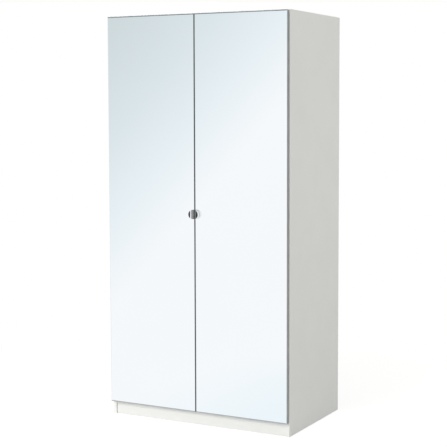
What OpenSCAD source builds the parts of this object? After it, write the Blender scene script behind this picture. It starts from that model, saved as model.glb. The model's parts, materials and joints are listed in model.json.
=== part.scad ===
// Two-door wardrobe: a panel carcass with a hat shelf and a clothes rail, closed by two framed mirror doors.
// The origin is on the floor at the middle of the footprint. +Z is up, +X is right and the doors face -Y.
// Pieces that come in a left and a right form are drawn for the right and mirrored for the left.

/* [Carcass] */
// Width over the side panels
carcass_w = 998; // [900:1:1100]
// Depth of the side panels, without the doors
carcass_d = 580; // [500:1:640]
// Height from the floor to the top
carcass_h = 2012; // [1850:1:2150]
// Thickness of the side, top, bottom, shelf and plinth boards
panel_t = 18; // [16:0.5:20]
// Height of the plinth below the bottom panel
plinth_h = 71; // [68:1:110]
// How far the front plinth stands behind the side panels' front edges
plinth_recess = 7; // [4:1:30]
// How far the rear plinth stands in front of the side panels' rear edges
rear_plinth_inset = 40; // [20:1:100]

/* [Back] */
// Thickness of the two hardboard leaves
leaf_t = 3; // [2.5:0.1:4]
// Depth of the grooves that hold the leaves
groove_depth = 7; // [5:0.5:9]
// Distance from the leaves to the rear edges
groove_inset = 14; // [12:1:20]
// Width of the strip that joins the leaves
strip_w = 24; // [16:1:40]
// Wall of that strip
strip_wall = 1.2; // [0.8:0.1:2]
// How far a wedge block reaches from its panel
clip_reach = 18; // [14:1:24]
// Length of a wedge block along its panel
clip_len = 22; // [16:1:40]

/* [Connectors] */
// Radius of a cam
cam_r = 7.5; // [7:0.5:8]
// Distance from a cam's centre to the side panel
cam_reach = 34; // [28:1:40]
// Distance from the carcass's front and rear edges to the nearest cam
cam_inset = 125; // [120:1:160]
// Radius of a wood dowel
dowel_r = 4; // [3:0.5:5]
// Length of a wood dowel
dowel_len = 30; // [25:1:40]
// Length of a dowel that sits in the side panel
dowel_seat = 11; // [8:1:12]
// Radius of the holes for bolts, pins and plate screws
peg_r = 2.5; // [2:0.1:3]
// Depth of those holes
peg_hole_depth = 12; // [11:0.5:13]
// Distance of the front row of holes from the front edge
row_setback = 37; // [32:1:45]
// Pitch of the holes in a row
row_pitch = 32; // [25:1:40]

/* [Inside] */
// Height of the shelf's underside
shelf_z = 1676; // [1500:1:1720]
// How far the shelf stands behind the front edges
shelf_setback = 20; // [15:1:60]
// Spare shelf positions above and below the one in use
spare_rows = 3; // [1:1:3]
// Length of a shelf pin that carries the shelf
pin_tongue = 9; // [6:0.5:14]
// Distance from the shelf's underside down to the rail's centre
rail_drop = 60; // [45:1:100]
// Height of the oval rail
rail_h = 30; // [26:1:34]
// Thickness of the oval rail
rail_w = 15; // [12:1:20]
// Wall of the rail's tube
rail_wall = 1; // [0.8:0.1:1.6]
// Length of the collar that holds a rail end
collar_len = 12; // [8:1:20]

/* [Feet] */
// Radius of a levelling foot's pad
foot_r = 15; // [12:1:18]
// Thickness of that pad
foot_t = 7; // [5:0.5:10]
// Clearance between a raised foot and the floor
foot_lift = 1; // [0.5:0.5:2]
// Radius of the threaded stud
stud_r = 5; // [4:0.5:6]
// Width of a foot socket's square flange
flange_w = 44; // [42:1:50]
// Height of a foot socket
socket_h = 38; // [30:1:42]
// Radius of the access holes in the bottom panel
access_r = 4.5; // [4:0.5:6]

/* [Wall brackets] */
// Distance of a wall bracket from the middle of the wardrobe
bracket_x = 330; // [200:1:380]
// Width of a wall bracket
bracket_w = 30; // [26:1:40]
// Length of each leg of a wall bracket
bracket_leg = 26; // [22:1:35]
// Sheet thickness of a wall bracket
bracket_t = 2; // [1.5:0.5:3]
// Radius of the holes for the screws into the wall
anchor_r = 3; // [2.5:0.25:4]

/* [Doors] */
// Gap between the two doors
door_split = 3; // [2:0.5:4]
// How far a door's outer edge stands inside the carcass's width
door_reveal = 2.5; // [1.5:0.5:3]
// Gap between the top of a door and the top of the carcass
door_top_gap = 4; // [2:0.5:5]
// How far a door hangs below the bottom panel's underside
door_drop = 3; // [1:0.5:5]
// Gap between the carcass and a door's back
door_gap = 3; // [2.5:0.5:4]
// Thickness of a door's board
door_board_t = 16; // [16:0.5:18]
// Thickness of the mirror glass
mirror_t = 3; // [3:0.5:5]
// Thickness of the frame's lip in front of the glass
lip_t = 1; // [0.8:0.1:1.5]
// Width of that lip on the upright stiles
stile_lip_w = 2; // [2:0.5:4]
// Width of that lip on the level rails
rail_lip_w = 4.5; // [4:0.5:6]
// Wall of the frame profile
frame_wall = 1.2; // [1:0.1:1.6]
// Reach of the frame's barb into the board
barb_reach = 4.5; // [3:0.5:6]
// Radius of a door bumper
bumper_r = 4; // [3:0.5:5]
// Distance from a door's free edge to its bumpers
bumper_inset = 40; // [20:1:80]

/* [Knobs] */
// Radius of each half-moon knob's round
knob_r = 23.2; // [22:0.1:30]
// Distance from the doors' split to the middle of that round
knob_mid = 3.5; // [2:0.5:5]
// How far a knob stands in front of its door
knob_out = 17; // [15:0.5:28]
// Height of the knobs' centre
knob_z = 1043; // [900:1:1150]
// Distance from the doors' split to the edge of the finger scoop
recess_w = 16; // [12:0.5:17]
// Depth of the finger scoop at the split
recess_d = 10; // [6:0.5:12]
// Thickness of the dark inlay in the grip's front
inlay_t = 2; // [1:0.5:3]
// Metal left round the inlay
inlay_rim = 0.8; // [0.5:0.1:1.5]
// Distance from the door's free edge to the knob's flat side
knob_edge = 0.5; // [0.3:0.1:1]

/* [Hinges] */
// Hinges on each door
hinge_count = 3; // [3:1:4]
// Distance from a door's ends to the end hinges
hinge_end = 100; // [80:1:130]
// Largest opening angle
door_opens = 105; // [90:1:107]
// Radius of a hinge cup
cup_r = 17.5; // [17:0.5:18]
// Board left between the door's edge and a cup
cup_edge = 3.5; // [3:0.5:4]
// Depth of a hinge cup
cup_depth = 12.5; // [12.3:0.1:12.9]
// Sheet thickness of a cup
cup_wall = 0.8; // [0.6:0.1:1]
// Distance from the door's outer edge to the pivot
pivot_edge = 7.2; // [7:0.1:7.4]
// Distance from the door's back to the pivot
pivot_depth = 9; // [8.8:0.1:9.2]
// Radius of a hinge pin
pin_r = 1.2; // [1:0.1:1.4]
// Radius of the knuckle round that pin
knuckle_r = 2.1; // [1.9:0.1:2.3]
// Width of a hinge arm
arm_w = 10; // [9:0.5:11]
// Sheet thickness of a hinge arm
arm_sheet = 1.4; // [1.2:0.1:1.8]
// Length of a hinge arm behind the carcass's front plane
arm_len = 60; // [55:1:70]
// Height of a hinge arm over its plate
arm_h = 9; // [8:0.5:11]
// Thickness of a hinge plate
plate_t = 2.5; // [2:0.5:4]

/* [Clearances] */
// Gap round fixed pins, screws and inserts
snug = 0.05; // [0.02:0.01:0.1]
// Gap round turning and sliding shafts
running = 0.08; // [0.05:0.01:0.1]
// Gap on each face of a back leaf in its grooves
groove_fit = 0.15; // [0.1:0.05:0.3]
// Gap at the edges of a back leaf
leaf_play = 1; // [0.5:0.25:2]
// Gap at each end of the shelf
shelf_play = 1.5; // [1:0.25:2.5]
// Gap between moving hinge parts
swing_gap = 0.35; // [0.3:0.05:0.4]

/* [Hidden] */
$fn = 48;

white_foil = "#ecece8";
hardboard = "#e4e2dc";
white_plastic = "#e2e2de";
beech = "#c9a876";
zinc = "#a9adb0";
steel = "#8f9498";
silver_frame = "#8e9294";
mirror_tint = "#cfdcde";
knob_metal = "#9b9d9f";
inlay_black = "#1c1c1e";
foam_dark = "#2a2a2c";

// How far a cut runs past a face
over = 1;

// Carcass planes
half_w = carcass_w / 2;
half_inner = half_w - panel_t;
door_t = door_board_t + mirror_t + lip_t;
total_d = carcass_d + door_gap + door_t + knob_out;
front_y = door_gap + door_t + knob_out - total_d / 2;
back_y = front_y + carcass_d;
top_z = carcass_h - panel_t;
floor_z = plinth_h + panel_t;
leaf_y = back_y - groove_inset - leaf_t;
plinth_y = front_y + plinth_recess;
rear_plinth_y = back_y - rear_plinth_inset - panel_t;

// How much deeper a blind hole is than what sits in it
bore_spare = 0.5;

// Screws into the boards that hold blocks, sockets, brackets and cups
board_screw_r = 1.75;
board_screw_bite = 10;
board_screw_head = [3.2, 1.6];
screw_bore = board_screw_bite + bore_spare;

// Panel joints
joint_zs = [plinth_h + panel_t / 2, top_z + panel_t / 2];
cam_ys = [front_y + cam_inset, back_y - cam_inset];
dowel_ys = [cam_ys[0] + row_pitch, cam_ys[1] - row_pitch];
plinth_ys = [plinth_y + panel_t / 2, rear_plinth_y + panel_t / 2];
plinth_dowel_zs = [plinth_h * 0.3, plinth_h * 0.7];
dowel_x = half_inner + dowel_seat - dowel_len;
dowel_bore_x = dowel_x - bore_spare;
bolt_head_r = 3;
bolt_neck_r = 2;
bolt_shank_r = 3;
bolt_hole_r = 4;
bolt_seat = peg_hole_depth - bore_spare;
peg_reach = peg_hole_depth - 1;
cam_h = panel_t / 2 + bolt_head_r + 1.5;

// Back leaves and their wedge blocks
strip_web = 2;
strip_front_y = leaf_y - groove_fit - strip_wall;
wedge_y = leaf_y + leaf_t;
wedge_t = groove_inset - 4;
wedge_zs = [for (k = [0.2, 0.5, 0.8]) floor_z + k * (top_z - floor_z)];
wedge_x = strip_w / 2 + clip_len;

// Wall brackets
bracket_screw_xs = [bracket_x - bracket_w / 4, bracket_x + bracket_w / 4];
bracket_screw_y = leaf_y - bracket_leg / 2;
anchor_z = top_z - bracket_leg * 0.6;

// Shelf and rail
front_row_y = front_y + row_setback;
rear_row_y = leaf_y - row_setback;
shelf_hole_z = shelf_z - peg_r;
shelf_row_zs = [for (i = [-spare_rows : spare_rows]) shelf_hole_z + i * row_pitch];
rail_z = shelf_z - rail_drop;
rail_y = (front_y + leaf_y) / 2;
socket_plate_t = 3;
collar_wall = 2;
rail_screw_r = 1.9;
rail_screw_head = [3.4, 1.8];
rail_screw_off = rail_h / 2 + collar_wall + 5;
rail_screw_zs = [rail_z - rail_screw_off, rail_z + rail_screw_off];
rail_plate_r = rail_w / 2 + collar_wall + 3;

// Feet
flange_t = 4;
socket_r = stud_r + 6;
socket_corner = flange_w / 2 - 6;
socket_screw_at = [for (x = [-1, 1], y = [-1, 1]) socket_corner * [x, y, 0]];
foot_x = half_inner - flange_w / 2 - 1;
foot_ys = [plinth_y + panel_t + flange_w / 2 + 1, rear_plinth_y - flange_w / 2 - 1];
stud_top = plinth_h - 8;
key_depth = 5;
cap_t = 1.2;
cap_brim = 3.5;
cap_plug = panel_t * 0.4;

// Doors
door_w = (carcass_w - 2 * door_reveal - door_split) / 2;
door_x0 = door_split / 2;
door_x1 = door_x0 + door_w;
door_z0 = plinth_h - door_drop;
door_z1 = carcass_h - door_top_gap;
door_h = door_z1 - door_z0;
door_back_y = front_y - door_gap;
door_front_y = door_back_y - door_t;
barb_t = 1.2;
barb_d = door_board_t - barb_t - 1;
bumper_zs = joint_zs;
frame_corner = 0.5;

// Knobs, whose finger scoop is round about an upright line in front of the split
knob_chamfer = 0.6;
scoop_r = (recess_w * recess_w + recess_d * recess_d) / (2 * recess_d);
pad_inset = 1.5;

// Hinges, in a frame with u inward from the side panel's outer face and v forward of the carcass's front
hinge_pitch = (door_h - 2 * hinge_end) / (hinge_count - 1);
hinge_zs = [for (i = [0 : hinge_count - 1]) door_z0 + hinge_end + i * hinge_pitch];
pivot_u = door_reveal + pivot_edge;
pivot_v = door_gap + pivot_depth;
cup_u = door_reveal + cup_edge + cup_r;
cup_flange_t = 1.2;
cup_floor_v = door_gap + cup_depth - cup_wall;
cup_screw_len = 12;
cup_screw_head = [3.4, 1];
cup_ear_r = 6;
cup_screw_u = cup_u + cup_ear_r;
cup_screw_zs = [-24, 24];
ear_gap = arm_w / 2 + swing_gap;
ear_u = pivot_u + knuckle_r + 1.5;
pin_half = ear_gap + 2.6;
// The neck stands outside the circle that the door's rear outer corner sweeps
neck_u = pivot_u + norm([pivot_edge, pivot_depth]) + swing_gap;
neck_t = 2;
// The leg stands in front of the place that the cup's inner corner reaches when the door is fully open
rim_out = knuckle_r + swing_gap;
rim_back = pivot_depth + cup_flange_t;
rim_forward = -norm([rim_out, rim_back]) * sin(atan2(rim_back, rim_out) + door_opens);
leg_back_v = pivot_v + max(rim_forward, 0) + swing_gap;
leg_front_v = cup_floor_v - swing_gap;
plate_u = panel_t + plate_t;
arm_top_u = plate_u + arm_h;
arm_slope_v = -12;
arm_heel_v = -8;
rib_w = arm_w - 2 * arm_sheet - 0.4;
rib_top_u = plate_u + 3;
plate_wing_z = row_pitch / 2 + 6;
plate_screw_head = [4, 1.6];
plate_wing_v = 6;
arm_screw_vs = [-26, -arm_len + 8];
arm_screw_r = 2;
arm_screw_head = [3.3, 1.5];

// Draws its children on the right and mirrored on the left
module both_sides() {
    children();
    mirror([1, 0, 0])
        children();
}

// A box between two corners
module block(low, high) {
    translate(low)
        cube(high - low);
}

// A round rod along X
module rod_x(x0, x1, y, z, r) {
    translate([x0, y, z])
        rotate([0, 90, 0])
            cylinder(h = x1 - x0, r = r);
}

// A round rod along Y
module rod_y(x, y0, y1, z, r) {
    translate([x, y0, z])
        rotate([-90, 0, 0])
            cylinder(h = y1 - y0, r = r);
}

// A round-ended outline, with its length along X
module stadium(length, width) {
    square([length - width, width], center = true);
    for (side = [-1, 1])
        translate([side * (length - width) / 2, 0])
            circle(r = width / 2);
}

// A pan-head screw along +Z. Its head, given as radius and height, lies below the plane z = 0
module screw(head, shank_r, length) {
    head_r = head[0];
    head_h = head[1];
    tip = shank_r * 1.2;
    difference() {
        translate([0, 0, -head_h])
            cylinder(h = head_h, r1 = head_r * 0.8, r2 = head_r);
        for (turn = [0, 90])
            rotate([0, 0, turn])
                translate([-head_r * 0.5, -head_r * 0.1, -head_h - over])
                    cube([head_r, head_r * 0.2, head_h * 0.6 + over]);
    }
    cylinder(h = length - tip, r = shank_r);
    translate([0, 0, length - tip])
        cylinder(h = tip, r1 = shank_r, r2 = shank_r * 0.3);
}

// A hole bored into the right side panel's inner face
module side_hole(y, z, r, depth) {
    rod_x(half_inner - over, half_inner + depth, y, z, r);
}

module side_board() {
    difference() {
        block([half_inner, front_y, 0], [half_w, back_y, carcass_h]);
        block(
            [half_inner - over, leaf_y - groove_fit, -over],
            [half_inner + groove_depth, leaf_y + leaf_t + groove_fit, carcass_h + over]
        );
        for (z = joint_zs, y = cam_ys)
            side_hole(y, z, peg_r + snug, peg_hole_depth);
        for (z = joint_zs, y = dowel_ys)
            side_hole(y, z, dowel_r + snug, dowel_seat + bore_spare);
        for (z = plinth_dowel_zs, y = plinth_ys)
            side_hole(y, z, dowel_r + snug, dowel_seat + bore_spare);
        for (z = shelf_row_zs, y = [front_row_y, rear_row_y])
            side_hole(y, z, peg_r + snug, peg_hole_depth);
        for (z = hinge_zs, side = [-1, 1])
            side_hole(front_row_y, z + side * row_pitch / 2, peg_r + snug, peg_hole_depth);
        for (z = rail_screw_zs)
            side_hole(rail_y, z, rail_screw_r + snug, peg_hole_depth);
        for (z = wedge_zs)
            side_hole(wedge_y + wedge_t / 2, z, board_screw_r + snug, screw_bore);
    }
}

module side_panel_left() {
    color(white_foil)
        mirror([1, 0, 0])
            side_board();
}

module side_panel_right() {
    color(white_foil)
        side_board();
}

// Cam, bolt and dowel holes at both ends of a board whose underside is at z0
module board_end_holes(z0) {
    both_sides() {
        for (y = cam_ys) {
            translate([half_inner - cam_reach, y, z0 - over])
                cylinder(h = cam_h + over, r = cam_r + snug);
            rod_x(half_inner - cam_reach, half_inner + over, y, z0 + panel_t / 2, bolt_hole_r);
        }
        for (y = dowel_ys)
            rod_x(dowel_bore_x, half_inner + over, y, z0 + panel_t / 2, dowel_r + snug);
    }
}

module top_panel() {
    color(white_foil)
        difference() {
            block([-half_inner, front_y, top_z], [half_inner, back_y, carcass_h]);
            block(
                [-half_inner - over, leaf_y - groove_fit, top_z - over],
                [half_inner + over, leaf_y + leaf_t + groove_fit, top_z + groove_depth]
            );
            board_end_holes(top_z);
            both_sides() {
                for (x = bracket_screw_xs)
                    translate([x, bracket_screw_y, top_z - over])
                        cylinder(h = screw_bore + over, r = board_screw_r + snug);
                translate([wedge_x, wedge_y + wedge_t / 2, top_z - over])
                    cylinder(h = screw_bore + over, r = board_screw_r + snug);
            }
        }
}

module bottom_panel() {
    color(white_foil)
        difference() {
            block([-half_inner, front_y, plinth_h], [half_inner, back_y, floor_z]);
            block(
                [-half_inner - over, leaf_y - groove_fit, floor_z - groove_depth],
                [half_inner + over, leaf_y + leaf_t + groove_fit, floor_z + over]
            );
            board_end_holes(plinth_h);
            both_sides() {
                for (y = foot_ys) {
                    translate([foot_x, y, plinth_h - over])
                        cylinder(h = panel_t + 2 * over, r = access_r + snug);
                    for (corner = socket_screw_at)
                        translate([foot_x, y, plinth_h - over] + corner)
                            cylinder(h = screw_bore + over, r = board_screw_r + snug);
                }
                translate([wedge_x, wedge_y + wedge_t / 2, floor_z - screw_bore])
                    cylinder(h = screw_bore + over, r = board_screw_r + snug);
            }
        }
}

// A plinth board whose front face is at y0
module plinth_board(y0) {
    difference() {
        block([-half_inner, y0, 0], [half_inner, y0 + panel_t, plinth_h]);
        both_sides()
            for (z = plinth_dowel_zs)
                rod_x(dowel_bore_x, half_inner + over, y0 + panel_t / 2, z, dowel_r + snug);
    }
}

module plinth_front() {
    color(white_foil)
        plinth_board(plinth_y);
}

module plinth_rear() {
    color(white_foil)
        plinth_board(rear_plinth_y);
}

module back_leaf() {
    difference() {
        block(
            [strip_web / 2 + leaf_play / 2, leaf_y, floor_z - groove_depth + leaf_play],
            [half_inner + groove_depth - leaf_play, leaf_y + leaf_t, top_z + groove_depth - leaf_play]
        );
        rod_y(bracket_x, leaf_y - over, leaf_y + leaf_t + over, anchor_z, anchor_r);
    }
}

module back_leaf_left() {
    color(hardboard)
        mirror([1, 0, 0])
            back_leaf();
}

module back_leaf_right() {
    color(hardboard)
        back_leaf();
}

module back_joint_strip() {
    slot = leaf_t + 2 * groove_fit;
    color(white_plastic)
        difference() {
            block(
                [-strip_w / 2, strip_front_y, floor_z],
                [strip_w / 2, strip_front_y + slot + 2 * strip_wall, top_z]
            );
            both_sides()
                block(
                    [strip_web / 2, strip_front_y + strip_wall, floor_z - over],
                    [strip_w / 2 + over, strip_front_y + strip_wall + slot, top_z + over]
                );
        }
}

// A wedge block on the plane z = 0, behind the back leaf and centred on X, with a screw hole through it
module wedge_block() {
    difference() {
        block([-clip_len / 2, 0, 0], [clip_len / 2, wedge_t, clip_reach]);
        translate([0, wedge_t / 2, -over])
            cylinder(h = clip_reach + 2 * over, r = board_screw_r + snug);
    }
}

// Places its children, which stand on the plane z = 0, at each wedge block's seat
module at_wedges() {
    both_sides() {
        for (z = wedge_zs)
            translate([half_inner, wedge_y, z])
                rotate([0, -90, 0])
                    children();
        translate([wedge_x, wedge_y, floor_z])
            children();
        translate([wedge_x, wedge_y, top_z])
            mirror([0, 0, 1])
                children();
    }
}

module back_wedges() {
    color(white_plastic)
        at_wedges()
            wedge_block();
}

module back_wedge_screws() {
    color(zinc)
        at_wedges()
            translate([0, wedge_t / 2, clip_reach])
                rotate([180, 0, 0])
                    screw(board_screw_head, board_screw_r, clip_reach + board_screw_bite);
}

// The cam turns on Z; its pocket opens toward the side panel and takes the bolt's head
module cam_locks() {
    slot = cam_r * 0.25;
    color(zinc)
        both_sides()
            for (z0 = [plinth_h, top_z], y = cam_ys)
                difference() {
                    translate([half_inner - cam_reach, y, z0])
                        cylinder(h = cam_h, r = cam_r);
                    rod_x(half_inner - cam_reach - 2, half_inner, y, z0 + panel_t / 2, bolt_head_r + 0.2);
                    for (turn = [0, 90])
                        translate([half_inner - cam_reach, y, z0 - over])
                            rotate([0, 0, turn])
                                translate([-cam_r * 0.6, -slot / 2, 0])
                                    cube([cam_r * 1.2, slot, over + 1.5]);
                }
}

module cam_bolts() {
    head_x = half_inner - cam_reach;
    color(zinc)
        both_sides()
            for (z = joint_zs, y = cam_ys) {
                rod_x(head_x - 1.5, head_x + 1.5, y, z, bolt_head_r);
                rod_x(head_x + 1.5, head_x + 5, y, z, bolt_neck_r);
                rod_x(head_x + 5, half_inner, y, z, bolt_shank_r);
                rod_x(half_inner, half_inner + bolt_seat, y, z, peg_r);
            }
}

module wood_dowels() {
    color(beech)
        both_sides() {
            for (z = joint_zs, y = dowel_ys)
                rod_x(dowel_x, half_inner + dowel_seat, y, z, dowel_r);
            for (z = plinth_dowel_zs, y = plinth_ys)
                rod_x(dowel_x, half_inner + dowel_seat, y, z, dowel_r);
        }
}

module foot_sockets() {
    color(white_plastic)
        both_sides()
            for (y = foot_ys)
                translate([foot_x, y, 0])
                    difference() {
                        union() {
                            block(
                                [-flange_w / 2, -flange_w / 2, plinth_h - flange_t],
                                [flange_w / 2, flange_w / 2, plinth_h]
                            );
                            translate([0, 0, plinth_h - socket_h])
                                cylinder(h = socket_h, r = socket_r);
                        }
                        translate([0, 0, plinth_h - socket_h - over])
                            cylinder(h = socket_h + 2 * over, r = stud_r + running);
                        for (corner = socket_screw_at)
                            translate([0, 0, plinth_h - flange_t - over] + corner)
                                cylinder(h = flange_t + 2 * over, r = board_screw_r + snug);
                    }
}

module foot_socket_screws() {
    color(zinc)
        both_sides()
            for (y = foot_ys, corner = socket_screw_at)
                translate([foot_x, y, plinth_h - flange_t] + corner)
                    screw(board_screw_head, board_screw_r, flange_t + board_screw_bite);
}

module access_caps() {
    color(white_plastic)
        both_sides()
            for (y = foot_ys)
                translate([foot_x, y, floor_z]) {
                    cylinder(h = cap_t, r1 = access_r + cap_brim, r2 = access_r + cap_brim - 1);
                    translate([0, 0, -cap_plug])
                        cylinder(h = cap_plug, r = access_r);
                }
}

// A levelling foot with a hexagon socket in the top of its stud
module levelling_foot() {
    difference() {
        union() {
            translate([0, 0, foot_lift])
                cylinder(h = foot_t, r1 = foot_r, r2 = foot_r - 2);
            translate([0, 0, foot_lift + foot_t])
                cylinder(h = stud_top - foot_lift - foot_t, r = stud_r);
        }
        translate([0, 0, stud_top - key_depth])
            cylinder(h = key_depth + over, r = stud_r * 0.6, $fn = 6);
    }
}

module foot_front_left() {
    color(steel)
        translate([-foot_x, foot_ys[0], 0])
            levelling_foot();
}

module foot_front_right() {
    color(steel)
        translate([foot_x, foot_ys[0], 0])
            levelling_foot();
}

module foot_rear_left() {
    color(steel)
        translate([-foot_x, foot_ys[1], 0])
            levelling_foot();
}

module foot_rear_right() {
    color(steel)
        translate([foot_x, foot_ys[1], 0])
            levelling_foot();
}

// Two steel angles under the top panel; their wall holes go on through the back leaves
module wall_brackets() {
    color(zinc)
        both_sides()
            difference() {
                block(
                    [bracket_x - bracket_w / 2, leaf_y - bracket_leg, top_z - bracket_leg],
                    [bracket_x + bracket_w / 2, leaf_y, top_z]
                );
                block(
                    [bracket_x - bracket_w, leaf_y - bracket_leg - over, top_z - bracket_leg - over],
                    [bracket_x + bracket_w, leaf_y - bracket_t, top_z - bracket_t]
                );
                rod_y(bracket_x, leaf_y - bracket_t - over, leaf_y + over, anchor_z, anchor_r);
                for (x = bracket_screw_xs)
                    translate([x, bracket_screw_y, top_z - bracket_t - over])
                        cylinder(h = bracket_t + 2 * over, r = board_screw_r + snug);
            }
}

module wall_bracket_screws() {
    color(zinc)
        both_sides()
            for (x = bracket_screw_xs)
                translate([x, bracket_screw_y, top_z - bracket_t])
                    screw(board_screw_head, board_screw_r, bracket_t + board_screw_bite);
}

module hat_shelf() {
    color(white_foil)
        block(
            [-half_inner + shelf_play, front_y + shelf_setback, shelf_z],
            [half_inner - shelf_play, strip_front_y - 1, shelf_z + panel_t]
        );
}

// A pin sits in its hole with a collar at the panel's face and a tongue under the shelf
module shelf_pins() {
    color(zinc)
        both_sides()
            for (y = [front_row_y, rear_row_y]) {
                rod_x(half_inner - pin_tongue, half_inner + peg_reach, y, shelf_hole_z, peg_r);
                rod_x(half_inner - shelf_play * 0.7, half_inner, y, shelf_hole_z, peg_r + 1.5);
            }
}

// The oval tube's outline drawn along X, with its long side upright
module rail_outline(x0, x1, grow) {
    translate([x0, rail_y, rail_z])
        rotate([0, 90, 0])
            linear_extrude(height = x1 - x0)
                stadium(rail_h + 2 * grow, rail_w + 2 * grow);
}

module clothes_rail() {
    end_x = half_inner - socket_plate_t;
    color(steel)
        difference() {
            rail_outline(-end_x, end_x, 0);
            rail_outline(-end_x - over, end_x + over, -rail_wall);
        }
}

module rail_sockets() {
    plate_x = half_inner - socket_plate_t;
    color(zinc)
        both_sides()
            difference() {
                union() {
                    translate([plate_x, rail_y, rail_z])
                        rotate([0, 90, 0])
                            linear_extrude(height = socket_plate_t)
                                stadium(2 * (rail_screw_off + 6), 2 * rail_plate_r);
                    rail_outline(plate_x - collar_len, plate_x, collar_wall);
                }
                rail_outline(plate_x - collar_len - over, plate_x, snug);
                for (z = rail_screw_zs)
                    rod_x(plate_x - over, half_inner + over, rail_y, z, rail_screw_r + snug);
            }
}

module rail_socket_screws() {
    color(zinc)
        both_sides()
            for (z = rail_screw_zs)
                translate([half_inner - socket_plate_t, rail_y, z])
                    rotate([0, 90, 0])
                        screw(rail_screw_head, rail_screw_r, socket_plate_t + peg_reach);
}

// Places its children, drawn with u along X and v along Y, at each hinge of the right door
module at_hinges() {
    for (z = hinge_zs)
        translate([half_w, front_y, z])
            rotate([0, 0, 180])
                children();
}

module hinge_plate() {
    difference() {
        union() {
            block(
                [panel_t, -row_setback - plate_wing_v, -plate_wing_z],
                [plate_u, -row_setback + plate_wing_v, plate_wing_z]
            );
            block([panel_t, -arm_len, -arm_w / 2 - 1], [plate_u, arm_slope_v, arm_w / 2 + 1]);
            block([panel_t, -arm_len, -rib_w / 2], [rib_top_u, arm_slope_v, rib_w / 2]);
        }
        for (side = [-1, 1])
            rod_x(panel_t - over, plate_u + over, -row_setback, side * row_pitch / 2, peg_r + snug);
        for (v = arm_screw_vs)
            rod_x(panel_t + 1, rib_top_u + over, v, 0, arm_screw_r + snug);
    }
}

module hinge_plates() {
    color(zinc)
        both_sides()
            at_hinges()
                hinge_plate();
}

module hinge_plate_screws() {
    color(zinc)
        both_sides()
            at_hinges()
                for (side = [-1, 1])
                    translate([plate_u, -row_setback, side * row_pitch / 2])
                        rotate([0, -90, 0])
                            screw(plate_screw_head, peg_r, plate_t + peg_reach);
}

// The arm: a knuckle on the pin, a leg in the cup, a neck out of it and a channel over the plate
module hinge_arm() {
    difference() {
        translate([0, 0, -arm_w / 2])
            linear_extrude(height = arm_w)
                union() {
                    translate([pivot_u, pivot_v])
                        circle(r = knuckle_r);
                    translate([pivot_u, leg_back_v])
                        square([neck_u + neck_t - pivot_u, leg_front_v - leg_back_v]);
                    polygon([
                        [neck_u, leg_front_v],
                        [neck_u, -4],
                        [plate_u, arm_heel_v],
                        [plate_u, -arm_len],
                        [arm_top_u, -arm_len],
                        [arm_top_u, arm_slope_v],
                        [neck_u + neck_t, 0],
                        [neck_u + neck_t, leg_front_v]
                    ]);
                }
        translate([pivot_u, pivot_v, -arm_w / 2 - over])
            cylinder(h = arm_w + 2 * over, r = pin_r + running);
        block(
            [plate_u - over, -arm_len - over, -arm_w / 2 + arm_sheet],
            [arm_top_u - arm_sheet, arm_slope_v + 1, arm_w / 2 - arm_sheet]
        );
        for (v = arm_screw_vs)
            rod_x(arm_top_u - arm_sheet - over, arm_top_u + over, v, 0, arm_screw_r + snug);
    }
}

module hinge_arms() {
    color(zinc)
        both_sides()
            at_hinges()
                hinge_arm();
}

module hinge_arm_screws() {
    color(zinc)
        both_sides()
            at_hinges()
                for (v = arm_screw_vs)
                    translate([arm_top_u, v, 0])
                        rotate([0, -90, 0])
                            screw(arm_screw_head, arm_screw_r, arm_top_u - panel_t - 1.5);
}

// The holes of a cup's two screws, to a given depth in the door's back
module cup_screw_holes(depth) {
    for (z = cup_screw_zs)
        rod_y(cup_screw_u, door_gap - cup_flange_t - over, door_gap + depth, z, board_screw_r + snug);
}

// The pressed cup: a round well with two ears that hold the pin, and a flange on the door's back
module hinge_cup() {
    rim_u = pivot_u - rim_out;
    difference() {
        union() {
            rod_y(cup_u, door_gap, door_gap + cup_depth, 0, cup_r);
            intersection() {
                rod_y(cup_u, door_gap - cup_flange_t, door_gap, 0, cup_r + 2);
                block(
                    [cup_u - cup_r, door_gap - cup_flange_t - over, -cup_r - 3],
                    [cup_u + cup_r + 3, door_gap + over, cup_r + 3]
                );
            }
            block(
                [cup_screw_u - cup_ear_r, door_gap - cup_flange_t, cup_screw_zs[0]],
                [cup_screw_u + cup_ear_r, door_gap, cup_screw_zs[1]]
            );
            for (z = cup_screw_zs)
                rod_y(cup_screw_u, door_gap - cup_flange_t, door_gap, z, cup_ear_r);
        }
        intersection() {
            rod_y(cup_u, door_gap - cup_flange_t - over, cup_floor_v, 0, cup_r - cup_wall);
            block(
                [ear_u, door_gap - cup_flange_t - 2 * over, -cup_r],
                [cup_u + cup_r, cup_floor_v + over, cup_r]
            );
        }
        block([rim_u, door_gap - cup_flange_t - over, -ear_gap], [ear_u + over, cup_floor_v, ear_gap]);
        translate([pivot_u, pivot_v, -pin_half - snug])
            cylinder(h = 2 * (pin_half + snug), r = pin_r + snug);
        cup_screw_holes(over);
    }
}

module hinge_cups_left() {
    color(zinc)
        mirror([1, 0, 0])
            at_hinges()
                hinge_cup();
}

module hinge_cups_right() {
    color(zinc)
        at_hinges()
            hinge_cup();
}

module hinge_pin() {
    translate([pivot_u, pivot_v, -pin_half])
        cylinder(h = 2 * pin_half, r = pin_r);
}

module hinge_pins_left() {
    color(steel)
        mirror([1, 0, 0])
            at_hinges()
                hinge_pin();
}

module hinge_pins_right() {
    color(steel)
        at_hinges()
            hinge_pin();
}

module cup_screws() {
    at_hinges()
        for (z = cup_screw_zs)
            translate([cup_screw_u, door_gap - cup_flange_t, z])
                rotate([-90, 0, 0])
                    screw(cup_screw_head, board_screw_r, cup_screw_len);
}

module hinge_cup_screws_left() {
    color(zinc)
        mirror([1, 0, 0])
            cup_screws();
}

module hinge_cup_screws_right() {
    color(zinc)
        cup_screws();
}

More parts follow.
